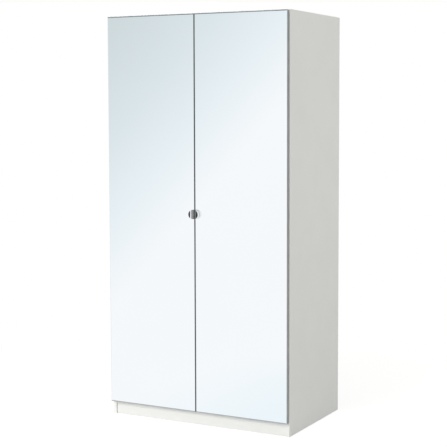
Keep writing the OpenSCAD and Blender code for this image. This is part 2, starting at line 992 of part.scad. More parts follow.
// The right door's board, with a groove round its edges for the frame's barb and bores for the cups
module door_board() {
    edge = frame_wall + snug;
    groove = frame_wall + barb_reach + snug;
    difference() {
        block(
            [door_x0 + edge, door_back_y - door_board_t, door_z0 + edge],
            [door_x1 - edge, door_back_y, door_z1 - edge]
        );
        difference() {
            block(
                [door_x0 - over, door_back_y - barb_d - barb_t - snug, door_z0 - over],
                [door_x1 + over, door_back_y - barb_d + snug, door_z1 + over]
            );
            block(
                [door_x0 + groove, door_back_y - door_board_t, door_z0 + groove],
                [door_x1 - groove, door_back_y, door_z1 - groove]
            );
        }
        at_hinges() {
            rod_y(cup_u, door_gap - over, door_gap + cup_depth + snug, 0, cup_r + snug);
            cup_screw_holes(cup_screw_len);
        }
    }
}

module door_board_left() {
    color(white_foil)
        mirror([1, 0, 0])
            door_board();
}

module door_board_right() {
    color(white_foil)
        door_board();
}

// The glass lies on the board's front, with its edges under the frame's lip
module mirror_glass() {
    edge = frame_wall + snug;
    block(
        [door_x0 + edge, door_back_y - door_board_t - mirror_t, door_z0 + edge],
        [door_x1 - edge, door_back_y - door_board_t, door_z1 - edge]
    );
}

module mirror_left() {
    color(mirror_tint)
        mirror([1, 0, 0])
            mirror_glass();
}

module mirror_right() {
    color(mirror_tint)
        mirror_glass();
}

// A prism through the frame, over points given as distance from the door's edge and place along the bar
module through_frame(points) {
    translate([0, door_t + over, 0])
        rotate([90, 0, 0])
            linear_extrude(height = door_t + 2 * over)
                polygon(points);
}

// One bar of the frame along +Z, with the door's edge on x = 0 and its back on y = 0. Its wall and barb are mitred.
// Its lip is mitred over the width of a stile's lip, and what a rail's lip has beyond that width ends square
module frame_bar(length, lip_w) {
    reach = frame_wall + barb_reach;
    lip_back = door_t - lip_t;
    intersection() {
        linear_extrude(height = length)
            polygon([
                [frame_corner, 0],
                [frame_wall, 0],
                [frame_wall, barb_d],
                [reach, barb_d],
                [reach, barb_d + barb_t],
                [frame_wall, barb_d + barb_t],
                [frame_wall, lip_back],
                [0, lip_back],
                [0, frame_corner]
            ]);
        through_frame([[0, 0], [length / 4, length / 4], [length / 4, length * 3 / 4], [0, length]]);
    }
    intersection() {
        linear_extrude(height = length)
            polygon([
                [0, lip_back],
                [lip_w, lip_back],
                [lip_w, door_t],
                [frame_corner, door_t],
                [0, door_t - frame_corner]
            ]);
        through_frame([
            [0, 0],
            [stile_lip_w, stile_lip_w],
            [lip_w + over, stile_lip_w],
            [lip_w + over, length - stile_lip_w],
            [stile_lip_w, length - stile_lip_w],
            [0, length]
        ]);
    }
}

// The free stile and its mirror image at the hinge side
module frame_stiles() {
    for (side = [0, 1])
        translate([side * (door_x0 + door_x1), 0, 0])
            mirror([side, 0, 0])
                translate([door_x0, door_back_y, door_z0])
                    mirror([0, 1, 0])
                        frame_bar(door_h, stile_lip_w);
}

// The bottom rail and its mirror image at the top
module frame_rails() {
    for (side = [0, 1])
        translate([0, 0, side * (door_z0 + door_z1)])
            mirror([0, 0, side])
                translate([door_x0, door_back_y, door_z0])
                    rotate([0, -90, 0])
                        rotate([180, 0, 0])
                            frame_bar(door_w, rail_lip_w);
}

module frame_stiles_left() {
    color(silver_frame)
        mirror([1, 0, 0])
            frame_stiles();
}

module frame_stiles_right() {
    color(silver_frame)
        frame_stiles();
}

module frame_rails_left() {
    color(silver_frame)
        mirror([1, 0, 0])
            frame_rails();
}

module frame_rails_right() {
    color(silver_frame)
        frame_rails();
}

module door_bumpers() {
    for (z = bumper_zs)
        rod_y(door_x0 + bumper_inset, door_back_y, front_y, z, bumper_r);
}

module door_bumpers_left() {
    color(white_plastic)
        mirror([1, 0, 0])
            door_bumpers();
}

module door_bumpers_right() {
    color(white_plastic)
        door_bumpers();
}

// Places its children at the split on the doors' front, drawn with the round in XY and its front toward +Z
module at_knob() {
    translate([0, door_front_y, knob_z])
        rotate([90, 0, 0])
            children();
}

// The part of its children from a distance x off the split, toward the hinge side
module beyond(x) {
    intersection() {
        children();
        translate([x, -2 * knob_r, -knob_out])
            cube([2 * knob_r, 4 * knob_r, 3 * knob_out]);
    }
}

// The crescent in the grip's front that the inlay fills, grown sideways and carried on past the face
module inlay_segment(grow, past_face) {
    beyond(recess_w + inlay_rim - grow)
        translate([knob_mid, 0, knob_out - inlay_t])
            cylinder(h = inlay_t + past_face, r = knob_r - inlay_rim + grow);
}

// A half round with a finger scoop that is open toward the split, and a pocket for the inlay
module half_knob() {
    at_knob()
        difference() {
            beyond(door_x0 + knob_edge)
                translate([knob_mid, 0, 0])
                    union() {
                        cylinder(h = knob_out - knob_chamfer, r = knob_r);
                        translate([0, 0, knob_out - knob_chamfer])
                            cylinder(h = knob_chamfer, r1 = knob_r, r2 = knob_r - knob_chamfer);
                    }
            translate([0, 2 * knob_r, knob_out - recess_d + scoop_r])
                rotate([90, 0, 0])
                    cylinder(h = 4 * knob_r, r = scoop_r);
            inlay_segment(snug, over);
        }
}

module knob_left() {
    color(knob_metal)
        mirror([1, 0, 0])
            half_knob();
}

module knob_right() {
    color(knob_metal)
        half_knob();
}

module knob_inlay_left() {
    color(inlay_black)
        mirror([1, 0, 0])
            at_knob()
                inlay_segment(0, 0);
}

module knob_inlay_right() {
    color(inlay_black)
        at_knob()
            inlay_segment(0, 0);
}

// The adhesive pad that fills the lip's height between the glass and the knob
module half_pad() {
    at_knob()
        beyond(door_x0 + stile_lip_w + pad_inset)
            translate([knob_mid, 0, -lip_t])
                cylinder(h = lip_t, r = knob_r - pad_inset);
}

module knob_pad_left() {
    color(foam_dark)
        mirror([1, 0, 0])
            half_pad();
}

module knob_pad_right() {
    color(foam_dark)
        half_pad();
}

side_panel_left();
side_panel_right();
top_panel();
bottom_panel();
plinth_front();
plinth_rear();
back_leaf_left();
back_leaf_right();
back_joint_strip();
back_wedges();
back_wedge_screws();
cam_locks();
cam_bolts();
wood_dowels();
foot_sockets();
foot_socket_screws();
access_caps();
foot_front_left();
foot_front_right();
foot_rear_left();
foot_rear_right();
wall_brackets();
wall_bracket_screws();
hat_shelf();
shelf_pins();
clothes_rail();
rail_sockets();
rail_socket_screws();
hinge_plates();
hinge_plate_screws();
hinge_arms();
hinge_arm_screws();
door_board_left();
door_board_right();
mirror_left();
mirror_right();
frame_stiles_left();
frame_stiles_right();
frame_rails_left();
frame_rails_right();
hinge_cups_left();
hinge_cups_right();
hinge_pins_left();
hinge_pins_right();
hinge_cup_screws_left();
hinge_cup_screws_right();
door_bumpers_left();
door_bumpers_right();
knob_left();
knob_right();
knob_inlay_left();
knob_inlay_right();
knob_pad_left();
knob_pad_right();
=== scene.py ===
"""The finish of a two-door mirror wardrobe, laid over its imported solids.

Boards are foiled and edge-banded, and show raw particleboard in every bore, groove and hidden edge. The
doors carry silvered glass in a slim aluminium edge. Lengths are in metres unless a name or comment says
millimetres. The wardrobe's own frame holds: the doors face -Y, X runs to the right and the floor is Z = 0.
"""
import json
import math

import bmesh
import bpy
from mathutils import Matrix, Vector

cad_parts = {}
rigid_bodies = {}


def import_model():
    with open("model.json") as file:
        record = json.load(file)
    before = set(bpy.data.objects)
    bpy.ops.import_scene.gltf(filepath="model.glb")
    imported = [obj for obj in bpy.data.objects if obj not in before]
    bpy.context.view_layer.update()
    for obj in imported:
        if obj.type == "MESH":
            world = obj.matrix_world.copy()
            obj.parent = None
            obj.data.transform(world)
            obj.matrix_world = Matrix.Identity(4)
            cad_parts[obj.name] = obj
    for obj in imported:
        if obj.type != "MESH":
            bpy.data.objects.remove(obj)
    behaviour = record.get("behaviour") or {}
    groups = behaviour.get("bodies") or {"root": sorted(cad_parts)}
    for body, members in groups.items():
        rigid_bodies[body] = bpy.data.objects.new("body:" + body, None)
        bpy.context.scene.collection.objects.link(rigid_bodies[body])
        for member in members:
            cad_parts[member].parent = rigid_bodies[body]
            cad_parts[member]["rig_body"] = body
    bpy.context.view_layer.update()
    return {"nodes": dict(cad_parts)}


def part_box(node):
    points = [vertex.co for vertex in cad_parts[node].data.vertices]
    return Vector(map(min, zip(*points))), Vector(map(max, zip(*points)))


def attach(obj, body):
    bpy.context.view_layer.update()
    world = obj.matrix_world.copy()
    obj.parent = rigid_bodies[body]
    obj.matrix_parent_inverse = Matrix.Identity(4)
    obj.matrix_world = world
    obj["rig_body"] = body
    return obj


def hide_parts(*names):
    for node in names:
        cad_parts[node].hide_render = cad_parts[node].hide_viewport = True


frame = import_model()
nodes = frame["nodes"]
scene = bpy.context.scene
MM = 0.001

# Camera, from a fit to eleven corners of the carcass and the doors
CAMERA_AT = (2.8465, -5.1538, 1.5451)
CAMERA_YAW = 26.863
CAMERA_PITCH = -4.371
CAMERA_LENS = 93.805
CAMERA_SHIFT = (-0.0940, -0.0537)

# Light: an even white room, three soft boxes, and how the paper floor returns it
ROOM_LIGHT = 0.56
FRONT_BOX = 148.0
SIDE_BOX = 28.5
TOP_BOX = 26.0
FLOOR_GLOW = 0.84
FLOOR_SHARE = 0.26

# Knobs, in millimetres: each half-moon's round, its flat side at the doors' split, and the scoop they share
KNOB_RADIUS = 23.2
KNOB_MIDDLE = 3.5
KNOB_FLAT = 2.0
KNOB_OUT = 17.0
SCOOP_EDGE = 16.0
SCOOP_DEPTH = 10.0
SCOOP_POLISHED = 13.0
INLAY_RIM = 0.8
INLAY_DEPTH = 2.0
INLAY_FIT = 0.05
SCOOP_STEPS = 14
ROUND_STEPS = 56

# Door edges, in millimetres: how deep the middles of a lip's own faces lie at most, and the width of the
# outer corner that takes the bar's tone
LIP_DEPTH = 0.9
CORNER_WIDTH = 0.4

# Repeated fittings, in millimetres
SCREW_PITCH = 1.6
FOOT_STUD_RADIUS = 5.0
FOOT_THREAD_PITCH = 1.5
FOOT_PAD_HEIGHT = 7.0
FOOT_KEY_DEPTH = 5.0
DOWEL_CHAMFER = 1.2
DOWEL_FLUTES = 16

# Threads and screws, as shares: a ridge's radius in its thread's pitch, a tip's length and its wide end in
# the shank's radius, what a head loses toward its top, a recess's length and width in the head's radius, its
# depth in the head's height, and how far along the screw its shank is measured
RIDGE_SHARE = 0.3
TIP_LENGTH_SHARE = 1.6
TIP_RADIUS_SHARE = 0.7
DOME_SHARE = 0.45
RECESS_LONG, RECESS_WIDE, RECESS_DEEP = 1.05, 0.2, 1.2
SHANK_AT = 0.8

# Feet and dowels, as shares: a foot's socket in its stud, what its pad loses at its rims and by which power,
# and a dowel's radius in its flutes and at its ends
KEY_SHARE = 0.6
RIM_SHARE = 0.07
RIM_POWER = 6.0
FLUTE_SHARE = 0.93
DOWEL_END_SHARE = 0.8

# Sides of round forms
HEAD_SIDES = 24
SHANK_SIDES = 12
STUD_SIDES = 24
PAD_SIDES = 48
FLOOR_SIDES = 96

# Roundings of outward edges, in millimetres
BOARD_ROUNDING = 0.6
LEAF_ROUNDING = 0.2
BAR_ROUNDING = 0.3
FITTING_ROUNDING = 0.25
KNOB_ROUNDING = 0.3
INLAY_ROUNDING = 0.2

# Angles between two faces, in degrees: up to which they become one face, up to which they are shaded as one,
# and from which a fitting's or a knob's edge is rounded
FLAT_UP_TO = 0.2
SMOOTH_UP_TO = 35
ROUNDED_FROM = 40

# Patterns: where a noise field mostly lies, where a pair's two tones stand in it, how fine the hardboard's
# fibre is, and how much its wires add to it
NOISE_RANGE = (0.3, 0.7)
PAIR_STOPS = (0.35, 0.65)
FIBRE_SCALE = 140.0
WIRE_SHARE = 0.3

# Floor: the paper disc's radius, how far it lies under the wardrobe, between which distances from the middle
# it turns white, and between which places along X polished surfaces see it turn cooler
FLOOR_RADIUS = 2.4
FLOOR_DROP = 0.5 * MM
FLOOR_FADE = (1.3, 2.2)
FLOOR_COOLING = (-0.6, 0.25)

# Room as polished surfaces see it: the direction in which it falls off, and from where to where along it
ROOM_SLOPE = (-1.03, 0.595, 1.0)
ROOM_FALL = (-0.077, 0.33)

# Soft boxes: the side of each
BOX_SIDE = 3.0

# How near a corner has to be to one of its box's planes to lie on it
TOUCH = 0.02 * MM


def linear(code):
    """The linear colour of an sRGB hex code."""
    channels = [int(code[i:i + 2], 16) / 255 for i in (0, 2, 4)]
    return (*[c / 12.92 if c <= 0.04045 else ((c + 0.055) / 1.055) ** 2.4 for c in channels], 1.0)


def add(tree, kind, inputs=None, stops=(), **settings):
    """A new node. An input takes a value, an output, another node's first output or a list of these. A
    ramp takes stops of colour."""
    node = tree.nodes.new(kind)
    for name, value in settings.items():
        setattr(node, name, value)
    for key, value in (inputs or {}).items():
        for source in value if isinstance(value, list) else [value]:
            if isinstance(source, bpy.types.Node):
                source = source.outputs[0]
            if isinstance(source, bpy.types.NodeSocket):
                tree.links.new(source, node.inputs[key])
            else:
                node.inputs[key].default_value = source
    for i, (position, code) in enumerate(stops):
        elements = node.color_ramp.elements
        element = elements[i] if i < len(elements) else elements.new(position)
        element.position = position
        element.color = linear(code)
    return node


# Materials

def mottled(patch, grain, lie=(1.0, 1.0, 1.0)):
    """A pattern of slow patches under a fine grain, sizes in millimetres. A small number in lie draws the
    grain out along that axis."""
    def draw(tree, place):
        patches = add(tree, "ShaderNodeTexNoise", {"Vector": place, "Scale": 1 / (patch * MM)})
        drawn = add(tree, "ShaderNodeMapping", {"Vector": place, "Scale": lie})
        fine = add(tree, "ShaderNodeTexNoise", {"Vector": drawn, "Scale": 1 / (grain * MM), "Detail": 3.0})
        return patches, fine
    return draw


def cellular(size, lie=(1.0, 1.0, 1.0)):
    """A pattern of cells, their size in millimetres. Each has its own tone, and its edges lie lower than
    its middle."""
    def draw(tree, place):
        drawn = add(tree, "ShaderNodeMapping", {"Vector": place, "Scale": lie})
        cells = add(tree, "ShaderNodeTexVoronoi", {"Vector": drawn, "Scale": 1 / (size * MM)})
        tone = add(tree, "ShaderNodeSeparateColor", {"Color": cells.outputs["Color"]})
        hollow = add(tree, "ShaderNodeMath", {0: 1.0, 1: cells.outputs["Distance"]}, operation="SUBTRACT")
        return tone, hollow
    return draw


def from_split(reach, grain, lie=(1.0, 1.0, 1.0)):
    """A pattern that runs from the doors' split to a reach in millimetres on either side, and a fine
    grain."""
    def draw(tree, place):
        across = add(tree, "ShaderNodeSeparateXYZ", {0: place})
        away = add(tree, "ShaderNodeMath", {0: across}, operation="ABSOLUTE")
        share = add(tree, "ShaderNodeMath", {0: away, 1: reach * MM}, operation="DIVIDE")
        drawn = add(tree, "ShaderNodeMapping", {"Vector": place, "Scale": lie})
        fine = add(tree, "ShaderNodeTexNoise", {"Vector": drawn, "Scale": 1 / (grain * MM), "Detail": 3.0})
        return share, fine
    return draw


def wire_screen(pitch):
    """A pattern of fibre that keeps the print of a woven wire screen, its pitch in millimetres."""
    def draw(tree, place):
        fibre = add(tree, "ShaderNodeTexNoise", {"Vector": place, "Scale": FIBRE_SCALE, "Detail": 5.0})
        wires = [
            add(tree, "ShaderNodeTexWave", {"Vector": place, "Scale": 1 / (math.pi * pitch * MM)},
                bands_direction=way)
            for way in "XZ"
        ]
        crossed = add(tree, "ShaderNodeMath", {0: wires[0].outputs["Fac"], 1: wires[1].outputs["Fac"]},
                      operation="MULTIPLY")
        tone = add(tree, "ShaderNodeMath", {0: crossed, 1: WIRE_SHARE, 2: fibre}, operation="MULTIPLY_ADD")
        return tone, crossed
    return draw


def surface(name, tones, gloss, relief, pattern, **shader_values):
    """A material. The pattern's first field runs through the tones. Its second runs through the range of
    roughness and stands relief millimetres high. Tones are stops from 0 to 1, each with a hex colour."""
    material = bpy.data.materials.new(name)
    material.use_nodes = True
    tree = material.node_tree
    tree.nodes.clear()
    place = add(tree, "ShaderNodeTexCoord").outputs["Object"]
    field, grain = pattern(tree, place)
    colour = add(tree, "ShaderNodeValToRGB", {"Fac": field}, stops=tones)
    polish = add(tree, "ShaderNodeMapRange",
                 {"Value": grain, "From Min": NOISE_RANGE[0], "From Max": NOISE_RANGE[1],
                  "To Min": gloss[0], "To Max": gloss[1]})
    raised = add(tree, "ShaderNodeBump", {"Height": grain, "Strength": 1.0, "Distance": relief * MM})
    shader = add(tree, "ShaderNodeBsdfPrincipled",
                 {"Base Color": colour, "Roughness": polish, "Normal": raised, **shader_values})
    add(tree, "ShaderNodeOutputMaterial", {"Surface": shader})
    return material


def pair(dark, light):
    """Two close tones for the middle of a noise field."""
    return (PAIR_STOPS[0], dark), (PAIR_STOPS[1], light)


def melamine_foil():
    # Melamine-soaked paper pressed hot on the board: an even, faintly warm white with a soft sheen. The
    # real pearl is 0.8 mm from bump to bump, and is drawn at 2.5 mm so that it shows
    return surface("white_melamine_foil", pair("edeeeb", "efefed"), (0.38, 0.48), 0.006, mottled(180, 2.5))


def edge_band():
    # Extruded plastic band glued round the board's seen edges: a touch cooler and smoother than the foil
    return surface("white_plastic_edge_band", pair("f0f0ed", "f2f2f0"), (0.28, 0.38), 0.005,
                   mottled(110, 3.0, (1, 1, 0.1)))


def particleboard():
    # Softwood chips in glue, cut by the saw and the drill: chips about 2.5 mm across, each of its own tone
    return surface("raw_particleboard", ((0.0, "8c6b45"), (0.45, "b8935f"), (1.0, "d9bf94")), (0.8, 0.92),
                   0.3, cellular(2.5, (1.0, 0.5, 1.4)))


def hardboard_face():
    # The smooth side of the hardboard, roller-lacquered: slightly greyer than the foil, with faint upright
    # streaks
    return surface("white_lacquered_hardboard", pair("e8e6e0", "ecebe5"), (0.42, 0.55), 0.02,
                   mottled(125, 4.0, (1, 1, 0.15)))


def hardboard_back():
    # The screen side of the hardboard: brown pressed fibre. The real wires stand 1 mm apart, and are drawn
    # 3 mm apart so that they show
    return surface("raw_hardboard_screen_side", ((0.35, "6f5137"), (0.6, "8b6b4e"), (0.85, "a38463")),
                   (0.85, 0.95), 0.3, wire_screen(3.0))


def moulded_nylon():
    # Injection-moulded nylon: white, with a spark-eroded grain and a satin sheen
    return surface("white_moulded_nylon", pair("e2e2de", "e7e7e3"), (0.4, 0.52), 0.02, mottled(25, 0.8))


def clear_polyurethane():
    # Cast polyurethane: a milky soft button that lets a little light in
    return surface("clear_polyurethane", pair("dce1e1", "e7ebeb"), (0.2, 0.32), 0.01, mottled(5, 0.7),
                   **{"Subsurface Weight": 0.2, "Subsurface Scale": 0.002})


def turned_beech():
    # Beech turned with its grain along X: pale pinkish brown with short dark flecks
    return surface("turned_beech", ((0.3, "b98f62"), (0.5, "cfa878"), (0.7, "dab98c")), (0.55, 0.7), 0.15,
                   mottled(6, 1.1, (0.08, 1, 1)))


def zinc_plated_steel():
    # Barrel-plated zinc on steel: bright, with a faint straw and blue drift
    return surface("zinc_plated_steel", pair("b2b6ba", "c6c7bf"), (0.24, 0.4), 0.01, mottled(9, 1.0),
                   Metallic=1.0)


def die_cast_zinc():
    # Zinc alloy as it comes out of the die: dull, with a slightly pitted skin
    return surface("die_cast_zinc", pair("9c9ea0", "acaeaf"), (0.38, 0.52), 0.03, mottled(12, 1.1),
                   Metallic=1.0)


def turned_steel():
    # Turned and plated steel: fine rings round the upright axis
    return surface("turned_plated_steel", pair("979b9e", "a8acae"), (0.28, 0.42), 0.01,
                   mottled(15, 1.2, (1, 1, 8)), Metallic=1.0)


def chromed_tube():
    # Drawn steel tube, chrome-plated: a clear mirror with drawing lines along X
    return surface("chrome_plated_tube", pair("d2d4d6", "dcdddd"), (0.07, 0.14), 0.002,
                   mottled(60, 2.0, (0.02, 1, 1)), Metallic=1.0)


def nickelled_steel():
    # Pressed sheet steel, nickel-plated: a warm grey shine with faint press marks
    return surface("nickel_plated_pressed_steel", pair("bab8b2", "c8c6c0"), (0.18, 0.28), 0.004,
                   mottled(18, 2.4), Metallic=1.0)


def silvered_glass():
    # Float glass silvered on its back: nearly all light returns, a trace cooler than it came, from a flat
    # surface with the slow roll of the float bath
    return surface("silvered_float_glass", pair("f5f8fb", "f6f9fc"), (0.0, 0.008), 0.004, mottled(600, 900),
                   Metallic=1.0)


def anodised_aluminium(name, tones, lie, gloss=(0.32, 0.46)):
    # Extruded aluminium, brushed along its length and anodised. A lower gloss is a brighter polish
    return surface(name, tones, gloss, 0.01, mottled(60, 1.2, lie), Metallic=1.0)


def polished_knob():
    # Cast zinc, polished and plated a bright silver under a satin lacquer
    return surface("silver_plated_knob", pair("eaebec", "f2f3f3"), (0.2, 0.3), 0.004, mottled(8, 0.6),
                   Metallic=1.0)


def painted_shade_scoop():
    # The floor of the finger scoop: brushed upright, with painted shade, darker the nearer the doors' split
    return surface("brushed_nickel_painted_shade", ((0.0, "6f7071"), (1.0, "a4a5a6")), (0.28, 0.4), 0.01,
                   from_split(SCOOP_POLISHED, 0.8, (1, 1, 0.05)), Metallic=1.0)


def black_acrylic():
    # Polished black acrylic, let into the grip: hardly a highlight from the front
    return surface("black_acrylic", pair("050506", "09090a"), (0.16, 0.24), 0.002, mottled(10, 2.0),
                   **{"Specular IOR Level": 0.15})


def foam_tape():
    # Closed-cell foam with glue on both sides: charcoal, with cells about 0.4 mm across
    return surface("acrylic_foam_tape", ((0.0, "242426"), (1.0, "39393b")), (0.7, 0.9), 0.1, cellular(0.4))


FOIL = melamine_foil()
BAND = edge_band()
CORE = particleboard()
LACQUER = hardboard_face()
SCREEN = hardboard_back()
NYLON = moulded_nylon()
BUMPER = clear_polyurethane()
BEECH = turned_beech()
ZINC = zinc_plated_steel()
CAST = die_cast_zinc()
TURNED = turned_steel()
CHROME = chromed_tube()
NICKEL = nickelled_steel()
MIRROR = silvered_glass()
# Brushed upright, a bar shows its depth and its lip at the split grey. Its lip at the hinges is polished, and
# is also a lighter copy of the same aluminium: a painted highlight as bright as the glass
UPRIGHT = anodised_aluminium("aluminium_upright_bar", pair("919293", "9a9b9c"), (1, 1, 0.01))
PAINTED_HIGHLIGHT_LIP = anodised_aluminium("aluminium_upright_lip_painted_highlight", pair("f0f2f2", "f4f6f6"), (1, 1, 0.01), (0.1, 0.16))
# Brushed sideways, it reflects a dim ceiling in the top lip. The bottom lip is a lighter copy of the same
# aluminium: a painted reflection of the pale floor
LEVEL = anodised_aluminium("aluminium_level_bar", pair("8f9294", "989b9d"), (0.01, 1, 1))
PAINTED_REFLECTION_LIP = anodised_aluminium("aluminium_bottom_lip_painted_reflection", pair("b4b7b8", "bcbfc0"), (0.01, 1, 1))
SILVER = polished_knob()
# The scoop's floor carries painted shade, darker toward the doors' split
SCOOP_PAINTED_SHADE = painted_shade_scoop()
BLACK = black_acrylic()
FOAM = foam_tape()


# Pieces and meshes

def settle(item, node):
    """Rides a finished object on a CAD node's body and puts it in the node's place."""
    scene.collection.objects.link(item)
    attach(item, nodes[node]["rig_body"])
    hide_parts(node)


def piece(name, mesh, materials, node):
    """An object of a bmesh, in a CAD node's place. Broad faces stay flat beside the small rounded edges."""
    data = bpy.data.meshes.new(name)
    mesh.to_mesh(data)
    mesh.free()
    for material in materials:
        data.materials.append(material)
    item = bpy.data.objects.new(name, data)
    item.modifiers.new("flat_faces", "WEIGHTED_NORMAL").keep_sharp = True
    settle(item, node)


def merged(node):
    """A bmesh of a CAD node, with its loose triangles joined and its flat faces whole again."""
    mesh = bmesh.new()
    mesh.from_mesh(nodes[node].data)
    bmesh.ops.remove_doubles(mesh, verts=mesh.verts, dist=1e-6)
    bmesh.ops.dissolve_limit(mesh, angle_limit=math.radians(FLAT_UP_TO), verts=mesh.verts, edges=mesh.edges,
                             use_dissolve_boundaries=False)
    return mesh


def near_planes(point, low, high, reach=TOUCH):
    """The box planes, as axis and side, that a point is near."""
    return {
        (axis, side)
        for axis in range(3)
        for side, plane in enumerate((low[axis], high[axis]))
        if abs(point[axis] - plane) < reach
    }


def outer_edges(mesh, low, high):
    """The edges of a bmesh that lie on two planes of its box."""
    return [
        edge for edge in mesh.edges
        if len(near_planes(edge.verts[0].co, low, high) & near_planes(edge.verts[1].co, low, high)) > 1
    ]


def rounded(mesh, edges, radius, segments, clamped=True):
    """Rounds some edges of a bmesh. Clamped, a rounding stays within the faces beside it."""
    bmesh.ops.bevel(mesh, geom=edges, offset=radius, segments=segments, profile=0.5, affect="EDGES",
                    clamp_overlap=clamped)


def shaded(mesh):
    """Smooth shading, kept sharp where two faces meet at a wide angle."""
    for face in mesh.faces:
        face.smooth = True
    for edge in mesh.edges:
        edge.smooth = edge.calc_face_angle(0) < math.radians(SMOOTH_UP_TO)
    return mesh


# Boards

def board(node, name, raw=(), faces=(FOIL, FOIL), edges=BAND, core=CORE, rounding=BOARD_ROUNDING * MM):
    """A board with rounded outer edges: two broad faces, banded edges, and raw stuff in bores, in grooves
    and on the edges named raw, each as axis and side."""
    low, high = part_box(node)
    thin = min(range(3), key=lambda axis: high[axis] - low[axis])
    mesh = merged(node)
    rounded(mesh, outer_edges(mesh, low, high), rounding, 3)
    for face in mesh.faces:
        planes = set.intersection(*[near_planes(v.co, low, high) for v in face.verts])
        corner = near_planes(face.calc_center_median(), low, high, rounding)
        if (thin, 0) in planes:
            face.material_index = 0
        elif (thin, 1) in planes:
            face.material_index = 1
        elif planes & set(raw):
            face.material_index = 3
        elif planes or len(corner) > 1:
            face.material_index = 2
        else:
            face.material_index = 3
    piece(name, shaded(mesh), (*faces, edges, core), node)


REAR, UNDER, OVER = (1, 1), (2, 0), (2, 1)
BOARDS = {
    "side_panel_left": ("foiled_side_left", (REAR,)),
    "side_panel_right": ("foiled_side_right", (REAR,)),
    "top_panel": ("foiled_top", (REAR,)),
    "bottom_panel": ("foiled_bottom", (REAR,)),
    "plinth_front": ("foiled_front_plinth", (UNDER, OVER)),
    "plinth_rear": ("foiled_rear_plinth", (UNDER, OVER)),
    "hat_shelf": ("foiled_hat_shelf", (REAR,)),
    "door_board_left": ("foiled_door_back_left", ()),
    "door_board_right": ("foiled_door_back_right", ()),
}
for node, (name, raw) in BOARDS.items():
    board(node, name, raw)
for side in ("left", "right"):
    board(f"back_leaf_{side}", f"hardboard_leaf_{side}", (), (LACQUER, SCREEN), SCREEN, SCREEN,
          LEAF_ROUNDING * MM)


# Door edges

def edge_bars(node, name, bar, lip, has_lip):
    """The bars of a door's edge with their outer arrises eased. The front and the inner wall of those lips
    that has_lip picks, by a face's middle, take the lip's material, a lighter copy with painted light, and
    all else takes the bar's."""
    low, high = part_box(node)
    mesh = merged(node)
    rounded(mesh, outer_edges(mesh, low, high), BAR_ROUNDING * MM, 2)
    for face in mesh.faces:
        middle = face.calc_center_median()
        face.material_index = int(middle.y < low.y + LIP_DEPTH * MM and has_lip(middle))
    piece(name, shaded(mesh), (bar, lip), node)


for side in ("left", "right"):
    low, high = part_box(f"frame_stiles_{side}")
    door_middle = (low + high) / 2
    outer = max(abs(low.x), abs(high.x)) - CORNER_WIDTH * MM
    edge_bars(f"frame_stiles_{side}", f"upright_bars_{side}", UPRIGHT, PAINTED_HIGHLIGHT_LIP,
              lambda point: abs(door_middle.x) < abs(point.x) < outer)
    edge_bars(f"frame_rails_{side}", f"level_bars_{side}", LEVEL, PAINTED_REFLECTION_LIP,
              lambda point: point.z < door_middle.z)


# Knobs

def arc(radius, from_x, count):
    """Points, in millimetres, along the part of a half-moon's round that lies beyond from_x, going up."""
    limit = math.acos((from_x - KNOB_MIDDLE) / radius)
    return [
        (KNOB_MIDDLE + radius * math.cos(a), radius * math.sin(a))
        for a in (limit * (2 * i / count - 1) for i in range(count + 1))
    ]


def knob_body():
    """A half-moon, drawn about the split with its depth away from the door: a bmesh in millimetres. The
    scoop is part of a cylinder about an upright line, and the grip beyond it has a pocket for the inlay."""
    mesh = bmesh.new()
    scoop_radius = (SCOOP_EDGE ** 2 + SCOOP_DEPTH ** 2) / (2 * SCOOP_DEPTH)
    scoop_line = KNOB_OUT - SCOOP_DEPTH + scoop_radius

    def ring(points, depth):
        return [mesh.verts.new((x, y, depth)) for x, y in points]

    def wall(lower, upper):
        for i in range(len(lower)):
            j = (i + 1) % len(lower)
            mesh.faces.new((lower[i], lower[j], upper[j], upper[i]))

    def front(x):
        return scoop_line - math.sqrt(scoop_radius ** 2 - x ** 2) if x < SCOOP_EDGE else KNOB_OUT

    steps = SCOOP_STEPS
    xs = [KNOB_FLAT + (SCOOP_EDGE - KNOB_FLAT) * i / steps for i in range(steps + 1)]
    upper = [(x, math.sqrt(KNOB_RADIUS ** 2 - (x - KNOB_MIDDLE) ** 2)) for x in xs]
    lower = [(x, -y) for x, y in upper]
    outline = lower + arc(KNOB_RADIUS, SCOOP_EDGE, ROUND_STEPS)[1:-1] + list(reversed(upper))
    foot = ring(outline, 0.0)
    rim = [mesh.verts.new((x, y, front(x))) for x, y in outline]
    wall(foot, rim)
    mesh.faces.new(list(reversed(foot)))
    low_rim = rim[:steps + 1]
    high_rim = list(reversed(rim[-steps - 1:]))
    for i in range(steps):
        strip = mesh.faces.new((low_rim[i], low_rim[i + 1], high_rim[i + 1], high_rim[i]))
        # Near the split the scoop's strips take the painted shade; farther out they stay silver
        strip.material_index = 1 if xs[i + 1] <= SCOOP_POLISHED else 0
    crescent = rim[steps:len(rim) - steps]
    pocket = arc(KNOB_RADIUS - INLAY_RIM, SCOOP_EDGE + INLAY_RIM, len(crescent) - 1)
    pocket_rim = ring(pocket, KNOB_OUT)
    pocket_floor = ring(pocket, KNOB_OUT - INLAY_DEPTH)
    wall(crescent, pocket_rim)
    wall(pocket_rim, pocket_floor)
    mesh.faces.new(pocket_floor)
    bmesh.ops.recalc_face_normals(mesh, faces=mesh.faces)
    return mesh


